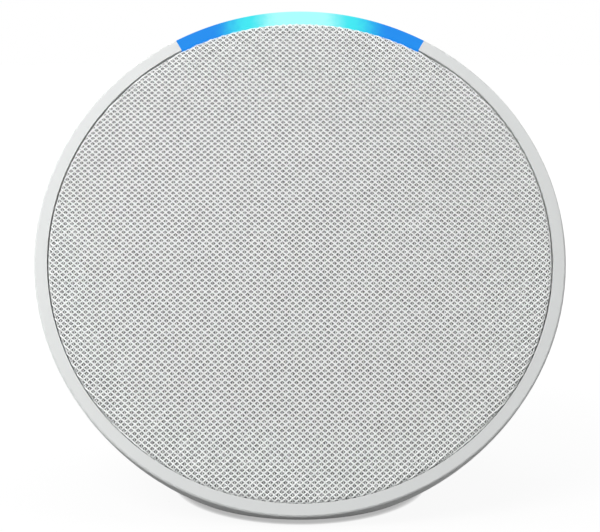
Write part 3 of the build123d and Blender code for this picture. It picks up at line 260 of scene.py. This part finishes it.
def lit(name, level):
    """Milky lamp plastic: blue at both ends, running to pale cyan in the middle."""
    mat, tree, shader, place = start_material(name, Roughness=0.6, Specular_IOR_Level=0.08)
    apart = add_node(tree, "ShaderNodeSeparateXYZ", {"Vector": place}).outputs["X"]
    cloud = spread(tree, noise(tree, place, 900.0), -LAMP_CLOUD, LAMP_CLOUD)
    drift = maths(tree, "ADD", apart, cloud)
    along = spread(tree, drift, 0.0, 1.0, -LAMP_REACH, LAMP_REACH)
    ramp = add_node(tree, "ShaderNodeValToRGB", {"Fac": along})
    ramp.color_ramp.interpolation = "EASE"
    stops = ramp.color_ramp.elements
    for at, _ in LAMP_RUN[1:-1]:
        stops.new((at / LAMP_REACH + 1) / 2)
    for stop, (_, colour) in zip(stops, LAMP_RUN):
        stop.color = (*colour, 1.0)
    tree.links.new(ramp.outputs["Color"], shader.inputs["Emission Color"])
    shader.inputs["Emission Strength"].default_value = level
    dull = shade(tree, LAMP_DULL, noise(tree, place, 900.0), 0.8, 1.2)
    tree.links.new(dull, shader.inputs["Base Color"])
    return mat


# Looks of the material slots
PLASTIC_WHITE = (0.705, 0.72, 0.715)
FINISHES = {
    "housing_plastic": moulded("housing_plastic_look", PLASTIC_WHITE, 0.55, mottle=0.008),
    "button_plastic": moulded("button_plastic_look", (0.77, 0.78, 0.775), 0.5, mottle=0.01),
    "light_diffuser": lit("light_diffuser_look", 1.0),
    "lamp_resin": lit("lamp_resin_look", 1.6),
    "dark_plastic": moulded("dark_plastic_look", (0.03, 0.03, 0.033), 0.55, 2000.0),
    "grille_plastic": moulded("grille_plastic_look", (0.32, 0.32, 0.32), 0.6, 2000.0),
    "foam": moulded("foam_look", (0.02, 0.02, 0.02), 0.9, 1300.0, 0.0001, 0.5),
    "foot_rubber": moulded("foot_rubber_look", (0.26, 0.27, 0.27), 0.85, 1500.0, 0.00005, 0.4),
    "soft_rubber": moulded("soft_rubber_look", (0.03, 0.03, 0.03), 0.65, 2200.0),
    "board_laminate": laminate("board_laminate_look", (0.015, 0.10, 0.045), (0.03, 0.16, 0.07)),
    "white_laminate": laminate("white_laminate_look", (0.75, 0.75, 0.73), (0.66, 0.66, 0.63)),
    "screw_steel": metal("screw_steel_look", (0.55, 0.55, 0.56), 0.35),
    "basket_steel": moulded("basket_steel_look", (0.025, 0.025, 0.028), 0.35, 1500.0),
    "motor_steel": metal("motor_steel_look", (0.62, 0.62, 0.63), 0.32),
    "magnet_alloy": metal("magnet_alloy_look", (0.70, 0.69, 0.67), 0.2, (400.0, 400.0, 400.0)),
    "cone_paper": woven("cone_paper_look", (0.035, 0.035, 0.038), 0.0006),
    "spider_cloth": woven("spider_cloth_look", (0.34, 0.17, 0.04), 0.0005),
    "former_foil": metal("former_foil_look", (0.80, 0.80, 0.81), 0.25, (300.0, 300.0, 300.0)),
    "coil_copper": metal("coil_copper_look", (0.75, 0.33, 0.16), 0.3, (100.0, 3000.0, 3000.0)),
    "chip_resin": moulded("chip_resin_look", (0.02, 0.02, 0.022), 0.5, 2500.0),
    "shield_tin": metal("shield_tin_look", (0.74, 0.74, 0.73), 0.35, (900.0, 60.0, 900.0)),
    "thermal_grey": moulded("thermal_grey_look", (0.17, 0.20, 0.26), 0.8, 1200.0),
    "sink_aluminium": metal("sink_aluminium_look", (0.78, 0.78, 0.79), 0.4),
    "antenna_tin": metal("antenna_tin_look", (0.76, 0.75, 0.72), 0.35),
    "coil_ferrite": moulded("coil_ferrite_look", (0.05, 0.05, 0.053), 0.6, 1800.0),
    "capacitor_can": metal("capacitor_can_look", (0.78, 0.79, 0.80), 0.3),
    "socket_plastic": moulded("socket_plastic_look", (0.60, 0.53, 0.37), 0.5, 2200.0),
    "jack_plastic": moulded("jack_plastic_look", (0.018, 0.018, 0.019), 0.45, 2200.0),
    "pin_brass": metal("pin_brass_look", (0.83, 0.68, 0.38), 0.25),
    "ribbon_film": laminate("ribbon_film_look", (0.55, 0.58, 0.64), (0.72, 0.73, 0.74)),
    "wire_sleeve": moulded("wire_sleeve_look", (0.10, 0.006, 0.006), 0.45, 1800.0),
    "switch_steel": metal("switch_steel_look", (0.66, 0.66, 0.66), 0.35),
    "mic_can": metal("mic_can_look", (0.78, 0.64, 0.36), 0.3),
}


def dress(node):
    """Give a CAD node the look of the material slot that it carries."""
    slots = node.data.materials
    for at, old in enumerate(slots):
        look = FINISHES.get(old.name.split(".")[0])
        if look is not None:
            slots[at] = look


for cad_node in nodes.values():
    dress(cad_node)


def on_face(across, up, height):
    """Points on the front, from flat weave coordinates and a height over the backing.
    Past the flat middle the cloth rolls over the rim of its frame."""
    radius = np.hypot(across, up)
    safe = np.maximum(radius, 1e-9)
    past = np.maximum(radius - FLAT_RADIUS, 0.0)
    turn = np.minimum(past / EDGE_ROLL, math.pi / 2)
    skirt = np.maximum(past - ROLL_LENGTH, 0.0)
    reach = np.where(past > 0, FLAT_RADIUS + (EDGE_ROLL + height) * np.sin(turn), radius)
    rise = (EDGE_ROLL + height) * np.cos(turn) - EDGE_ROLL - skirt - WEAVE_DEPTH
    return (
        FACE_CENTRE
        + np.multiply.outer(across / safe * reach, RIGHT)
        + np.multiply.outer(up / safe * reach, UP)
        + np.multiply.outer(rise, OUT)
    )


def make_piece(name, points, faces, flat, look):
    """A mesh piece of the cloth, with a flat map."""
    mesh = bpy.data.meshes.new(name)
    mesh.from_pydata(points.tolist(), [], faces)
    layer = mesh.uv_layers.new(name="OFBake")
    corner = np.zeros(len(mesh.loops), np.int32)
    mesh.loops.foreach_get("vertex_index", corner)
    spots = flat[corner] / MAP_SPAN + 0.5
    layer.data.foreach_set("uv", spots.astype(np.float32).ravel())
    mesh.polygons.foreach_set("use_smooth", [True] * len(mesh.polygons))
    mesh.materials.append(look)
    mesh.validate()
    piece = bpy.data.objects.new(name, mesh)
    scene.collection.objects.link(piece)
    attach(piece, "housing")
    return piece


def fibres(name, colour, low, high, lean):
    """Yarn: twisted plies along its run, fibre noise and uneven dye."""
    mat, tree, shader, place = start_material(name, Roughness=0.85)
    shader.inputs["Sheen Weight"].default_value = 0.15
    shader.inputs["Sheen Roughness"].default_value = 0.5
    patch = noise(tree, place, 1500.0, 1.0)
    tree.links.new(shade(tree, colour, patch, low, high), shader.inputs["Base Color"])
    plies = add_node(
        tree,
        "ShaderNodeTexWave",
        {"Vector": place, "Scale": 420.0, "Distortion": 3.0, "Detail": 2.0, "Detail Scale": 3.0},
        bands_direction=lean,
    ).outputs["Fac"]
    relief(tree, shader, plies, 0.25, 0.00003)
    return mat


YARN_LOOK = fibres("yarn_white_look", (0.96, 0.97, 0.965), 0.97, 1.03, "DIAGONAL")
LOOP_LOOK = fibres("yarn_grey_look", (0.86, 0.865, 0.86), 0.86, 1.10, "X")
# Painted shade: the near-black backing stands in for the shade seen through the openings between the
# yarns
BACKING_SHADE_LOOK = woven("cloth_backing_painted_shade_look", (0.018, 0.018, 0.018), 0.0004)


def cloth_backing():
    """The cloth itself: a stretched disc with a turned edge and a hem, closed underneath. It is
    near-black as painted shade in the openings of the weave.
    """
    rings = np.concatenate(
        (
            np.linspace(HUB_SHARE, 1.0, FLAT_RINGS) * FLAT_RADIUS,
            FLAT_RADIUS + np.linspace(1 / ROLL_RINGS, 1.0, ROLL_RINGS) * ROLL_LENGTH,
            np.linspace(FLAT_RADIUS + ROLL_LENGTH, CUT_RADIUS, HEM_RINGS + 1)[1:],
        )
    )
    angle = np.arange(AROUND) * 2 * math.pi / AROUND
    across = np.multiply.outer(rings, np.cos(angle)).ravel()
    up = np.multiply.outer(rings, np.sin(angle)).ravel()
    points, flat = [], []
    for height in (0.0, -BACKING):
        points += [on_face(np.zeros(1), np.zeros(1), np.array([height]))]
        points += [on_face(across, up, np.full(len(across), height))]
        flat += [np.zeros((1, 2)), np.stack((across, up), 1)]
    points, flat = np.concatenate(points), np.concatenate(flat)
    step, side = np.arange(AROUND), len(rings) * AROUND + 1
    nxt = (step + 1) % AROUND
    faces = []
    for layer in (0, 1):
        hub, first = layer * side, layer * side + 1
        fan = np.stack((np.full(AROUND, hub), first + step, first + nxt), 1)
        quads = []
        for ring in range(len(rings) - 1):
            low, high = first + ring * AROUND, first + (ring + 1) * AROUND
            quads.append(np.stack((low + step, high + step, high + nxt, low + nxt), 1))
        quads = np.concatenate(quads)
        if layer:
            fan, quads = fan[:, ::-1], quads[:, ::-1]
        faces += fan.tolist() + quads.tolist()
    last = 1 + (len(rings) - 1) * AROUND
    hem = np.stack((last + step, last + side + step, last + side + nxt, last + nxt), 1)
    faces += hem.tolist()
    return make_piece("grille_cloth_backing", points, faces, flat, BACKING_SHADE_LOOK)


def weave_spot(p, q):
    """Flat place of weave coordinates: the grey loops are at whole numbers."""
    return (p + q) / 2 * CELL_WIDE, (p - q) / 2 * CELL_HIGH


def yarn_set(name, first):
    """One set of parallel yarns. They go over and under the other set in turn."""
    span = int(2 * YARN_END / min(CELL_WIDE, CELL_HIGH)) + 2
    direction = np.array(weave_spot(1.0, 0.0) if first else weave_spot(0.0, 1.0))
    direction = direction / np.linalg.norm(direction)
    side = np.array((-direction[1], direction[0]))
    points, flat, faces, count = [], [], [], 0
    for line in range(-span, span):
        at = line + 0.5
        run = np.arange(-span * YARN_STEPS, span * YARN_STEPS + 1) / YARN_STEPS
        across, up = weave_spot(run, at) if first else weave_spot(at, run)
        wander = np.interp(run, run[::4], rng.normal(0, 1, len(run[::4])))
        girth = 1 + YARN_UNEVEN * np.interp(run, run[::3], rng.normal(0, 1, len(run[::3])))
        across = across + side[0] * wander * YARN_WANDER
        up = up + side[1] * wander * YARN_WANDER
        inside = np.hypot(across, up) < YARN_END
        if inside.sum() < 3:
            continue
        run, across, up, girth = run[inside], across[inside], up[inside], girth[inside]
        phase = np.cos(math.pi * (run - 0.5)) * (1 if line % 2 == 0 else -1)
        level = YARN_LIFT + YARN_WAVE * (phase if first else -phase)
        ring = []
        for sideways, rise in YARN_PROFILE:
            a = across + side[0] * sideways * YARN_HALF * girth
            b = up + side[1] * sideways * YARN_HALF * girth
            h = np.maximum(level + YARN_RISE * rise * (0.5 + 0.5 * girth), YARN_FLOOR)
            ring.append((on_face(a, b, h), np.stack((a, b), 1)))
        points.append(np.stack([r[0] for r in ring], 1).reshape(-1, 3))
        flat.append(np.stack([r[1] for r in ring], 1).reshape(-1, 2))
        wide = len(YARN_PROFILE)
        base = count + np.arange(len(run) - 1)[:, None] * wide + np.arange(wide - 1)[None, :]
        base = base.ravel()
        quads = np.stack((base, base + wide, base + wide + 1, base + 1), 1)
        faces.append(quads[:, ::-1])
        count += len(run) * wide
    faces = np.concatenate(faces).tolist()
    return make_piece(name, np.concatenate(points), faces, np.concatenate(flat), YARN_LOOK)


def loop_set(name):
    """A grey loop of yarn in each opening of the white lattice."""
    span = int(2 * YARN_END / min(CELL_WIDE, CELL_HIGH)) + 2
    p, q = [g.ravel().astype(float) for g in np.meshgrid(range(-span, span), range(-span, span))]
    across, up = weave_spot(p, q)
    keep = np.hypot(across, up) < YARN_END - LOOP_INSET
    across, up = across[keep], up[keep]
    total = len(across)
    across = across + rng.normal(0, LOOP_WANDER, total)
    up = up + rng.normal(0, LOOP_WANDER, total) - LOOP_DROP
    size = 1 + LOOP_UNEVEN * rng.normal(0, 1, total)
    tall = LOOP_RISE * (1 + LOOP_UNEVEN * rng.normal(0, 1, total))
    angle = np.arange(LOOP_SIDES) * 2 * math.pi / LOOP_SIDES + math.pi / 2
    points, flat = [], []
    for grow, rise in LOOP_SHELLS:
        a = across[:, None] + np.cos(angle) * grow * LOOP_WIDE * size[:, None]
        b = up[:, None] + np.sin(angle) * grow * LOOP_HIGH * size[:, None]
        h = np.broadcast_to(tall[:, None] * rise, a.shape)
        points.append(on_face(a, b, h))
        flat.append(np.stack((a, b), 2))
    points.append(on_face(across, up, tall)[:, None, :])
    flat.append(np.stack((across, up), 1)[:, None, :])
    points, flat = np.concatenate(points, 1), np.concatenate(flat, 1)
    each = 2 * LOOP_SIDES + 1
    ring = np.arange(LOOP_SIDES)
    nxt = (ring + 1) % LOOP_SIDES
    lower = np.stack((ring, nxt, nxt + LOOP_SIDES), 1)
    upper = np.stack((ring, nxt + LOOP_SIDES, ring + LOOP_SIDES), 1)
    cap = np.stack((ring + LOOP_SIDES, nxt + LOOP_SIDES, np.full(LOOP_SIDES, 2 * LOOP_SIDES)), 1)
    one = np.concatenate((lower, upper, cap))
    faces = (np.arange(total)[:, None, None] * each + one[None]).reshape(-1, 3).tolist()
    return make_piece(name, points.reshape(-1, 3), faces, flat.reshape(-1, 2), LOOP_LOOK)


backing = cloth_backing()
yarns = [yarn_set("grille_cloth_yarn_rising", True), yarn_set("grille_cloth_yarn_falling", False)]
loops = loop_set("grille_cloth_loops")
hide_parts("grille_cloth")

# Surround and spider: fixed copies of the solids between the cone and the basket
SURROUND_BEND = (18.1 * MM, 21.9 * MM)
SPIDER_BEND = (10.5 * MM, 14.2 * MM)


def bending_ring(node_name, look_slot, inner, outer):
    """A copy of a ring's solid in its place, with the node hidden. The inner and outer radii are not
    used.
    """
    node = nodes[node_name]
    piece = bpy.data.objects.new(f"{node_name}_ring", node.data.copy())
    piece.matrix_world = node.matrix_world
    scene.collection.objects.link(piece)
    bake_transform(piece)
    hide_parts(node_name)


bending_ring("driver_surround", "soft_rubber", *SURROUND_BEND)
bending_ring("driver_spider", "spider_cloth", *SPIDER_BEND)

# Signs on the buttons: bars and a crossed ring, let into the tops
SIGN_REACH = 1.45 * MM
SIGN_HALF = 0.2 * MM
SIGN_RING = 1.25 * MM
SIGN_PROUD = 0.015 * MM
SIGN_SUNK = 0.06 * MM
SIGN_SLANT = (SIGN_RING - SIGN_HALF) * math.sqrt(0.5)
BAR_POINTS, RING_POINTS = 9, 40
BUTTON_PLACES = {"volume_down": -BUTTON_PITCH, "mic_mute": 0.0, "volume_up": BUTTON_PITCH}
BUTTON_HIGH = RIM_RADIUS * math.sqrt(1 - (BUTTON_BACK / DOME_DEPTH) ** 2)
BUTTON_SLOPE = UP * (BUTTON_HIGH / RIM_RADIUS**2) - OUT * (BUTTON_BACK / DOME_DEPTH**2)
BUTTON_OUT = BUTTON_SLOPE / np.linalg.norm(BUTTON_SLOPE)
BUTTON_AWAY = np.cross(BUTTON_OUT, RIGHT)
BUTTON_CENTRE = FACE_CENTRE - OUT * BUTTON_BACK + UP * BUTTON_HIGH
SIGN_LOOK = moulded("sign_look", (0.30, 0.31, 0.32), 0.6, 2600.0)


def bar(start, end):
    """Middle line of a straight stroke."""
    return np.linspace(start, end, BAR_POINTS), False


def ring(radius):
    """Middle line of a round stroke."""
    angle = np.arange(RING_POINTS) * 2 * math.pi / RING_POINTS
    return np.stack((np.cos(angle), np.sin(angle)), 1) * radius, True


def sign(name, body, strokes):
    """Thin strokes on the top of a button, laid on its curved surface."""
    button = nodes[f"{body}_button"]
    corners = [button.matrix_world @ v.co for v in button.data.vertices]
    surface = BVHTree.FromPolygons(corners, [p.vertices for p in button.data.polygons])
    middle = BUTTON_CENTRE + RIGHT * BUTTON_PLACES[body]
    points, faces = [], []
    for line, closed in strokes:
        count, first = len(line), len(points)
        ahead = np.roll(line, -1, 0) - np.roll(line, 1, 0) if closed else np.gradient(line, axis=0)
        ahead = ahead / np.linalg.norm(ahead, axis=1)[:, None]
        aside = np.stack((-ahead[:, 1], ahead[:, 0]), 1) * SIGN_HALF
        for spot, shift in zip(line, aside):
            for side, level in ((1, SIGN_PROUD), (-1, SIGN_PROUD), (-1, -SIGN_SUNK), (1, -SIGN_SUNK)):
                across, away = spot + side * shift
                start = middle + RIGHT * across + BUTTON_AWAY * away + BUTTON_OUT * BUTTON_PITCH
                hit = surface.ray_cast(Vector(start), Vector(-BUTTON_OUT))[0]
                points.append(tuple(np.array(hit) + BUTTON_OUT * level))
        for step in range(count if closed else count - 1):
            here, there = first + 4 * step, first + 4 * ((step + 1) % count)
            for edge in range(4):
                after = (edge + 1) % 4
                faces.append((here + edge, there + edge, there + after, here + after))
        if not closed:
            last = first + 4 * (count - 1)
            faces += [tuple(range(first, first + 4)), tuple(range(last + 3, last - 1, -1))]
    mesh = bpy.data.meshes.new(name)
    mesh.from_pydata(points, [], faces)
    mesh.materials.append(SIGN_LOOK)
    piece = bpy.data.objects.new(name, mesh)
    scene.collection.objects.link(piece)
    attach(piece, body)


level_bar = bar((-SIGN_REACH, 0.0), (SIGN_REACH, 0.0))
near_bar = bar((0.0, -SIGN_REACH), (0.0, -SIGN_HALF))
far_bar = bar((0.0, SIGN_HALF), (0.0, SIGN_REACH))
slant_bar = bar((-SIGN_SLANT, SIGN_SLANT), (SIGN_SLANT, -SIGN_SLANT))
sign("volume_down_sign", "volume_down", [level_bar])
sign("volume_up_sign", "volume_up", [level_bar, near_bar, far_bar])
sign("mic_mute_sign", "mic_mute", [ring(SIGN_RING), slant_bar])

# Floor: white to the camera, with a painted contact shadow from ambient occlusion near the object, and
# grey enough underneath to leave the underside in shade
FLOOR_SIZE = 6.0
FLOOR_GREY = (0.06, 0.06, 0.06, 1.0)
FLOOR_GLOW = 0.93
GLOW_NEAR, GLOW_FAR = 0.06, 0.22
CONTACT_REACH = 1.0 * MM
floor_mesh = bpy.data.meshes.new("floor")
half = FLOOR_SIZE / 2
floor_mesh.from_pydata(
    [(-half, -half, 0), (half, -half, 0), (half, half, 0), (-half, half, 0)], [], [(0, 1, 2, 3)]
)
floor = bpy.data.objects.new("floor", floor_mesh)
scene.collection.objects.link(floor)
floor_look = bpy.data.materials.new("floor_look")
floor_look.use_nodes = True
tree = floor_look.node_tree
tree.nodes.clear()
rays = add_node(tree, "ShaderNodeLightPath")
seen = maths(tree, "MAXIMUM", rays.outputs["Is Camera Ray"], rays.outputs["Is Glossy Ray"])
seen = maths(tree, "MAXIMUM", seen, rays.outputs["Is Transmission Ray"])
spot = add_node(tree, "ShaderNodeTexCoord").outputs["Object"]
away = add_node(tree, "ShaderNodeVectorMath", {0: spot}, operation="LENGTH").outputs["Value"]
bright = spread(tree, away, FLOOR_GLOW, 1.0, GLOW_NEAR, GLOW_FAR)
# Painted shade: the floor's glow is dimmed by ambient occlusion where it meets the object, a painted
# contact shadow
painted_contact_shade = add_node(tree, "ShaderNodeAmbientOcclusion", {"Distance": CONTACT_REACH}).outputs["AO"]
bright = maths(tree, "MULTIPLY", bright, painted_contact_shade)
glow = maths(tree, "MULTIPLY", seen, bright)
paper = add_node(tree, "ShaderNodeBsdfDiffuse", {"Color": FLOOR_GREY})
light = add_node(tree, "ShaderNodeEmission", {"Strength": glow})
both = add_node(tree, "ShaderNodeAddShader", {0: paper.outputs[0], 1: light.outputs[0]})
add_node(tree, "ShaderNodeOutputMaterial", {"Surface": both.outputs[0]})
floor_mesh.materials.append(floor_look)

# World: soft even light, white where the camera sees it
WORLD_LEVEL = 0.35
world = bpy.data.worlds.new("studio")
scene.world = world
world.use_nodes = True
tree = world.node_tree
tree.nodes.clear()
rays = add_node(tree, "ShaderNodeLightPath")
seen = maths(tree, "MAXIMUM", rays.outputs["Is Camera Ray"], rays.outputs["Is Transmission Ray"])
level = spread(tree, seen, WORLD_LEVEL, 1.0, 0.0, 1.0)
sky = add_node(
    tree, "ShaderNodeBackground", {"Color": (1.0, 1.0, 1.0, 1.0), "Strength": level}
)
add_node(tree, "ShaderNodeOutputWorld", {"Surface": sky.outputs[0]})

# Lamps: name, place and size in metres, and power in watts
AIM = (0.0, 0.0, 0.045)
SOFTBOXES = (
    ("key", (-0.22, -0.28, 0.37), 0.30, 1.85),
    ("fill", (0.8, -0.7, 0.35), 0.9, 0.9),
    ("top", (0.0, 0.25, 1.0), 0.9, 3.4),
    ("rear_left", (-0.7, 0.8, 0.4), 0.8, 4.0),
    ("rear_right", (0.7, 0.8, 0.4), 0.8, 3.0),
)
for name, place, size, power in SOFTBOXES:
    lamp = bpy.data.lights.new(name, "AREA")
    lamp.shape = "DISK"
    lamp.size = size
    lamp.energy = power
    softbox = bpy.data.objects.new(name, lamp)
    softbox.location = place
    softbox.rotation_euler = (Vector(AIM) - Vector(place)).to_track_quat("-Z", "Y").to_euler()
    scene.collection.objects.link(softbox)

# Camera: at the photograph's angle
EYE_RANGE = 304.6 * MM
EYE_RISE = math.radians(8.0)
EYE_PITCH = math.radians(8.509)
SENSOR_WIDTH, LENS = 36.0, 98.15
eye = FACE_CENTRE + EYE_RANGE * np.array((0.0, -math.cos(EYE_RISE), math.sin(EYE_RISE)))
camera = bpy.data.cameras.new("camera")
camera.sensor_width = SENSOR_WIDTH
camera.lens = LENS
camera.clip_start, camera.clip_end = 0.01, 20.0
viewer = bpy.data.objects.new("camera", camera)
viewer.location = eye
viewer.rotation_euler = (math.pi / 2 - EYE_PITCH, 0.0, 0.0)
scene.collection.objects.link(viewer)
scene.camera = viewer

scene.view_settings.view_transform = "Standard"
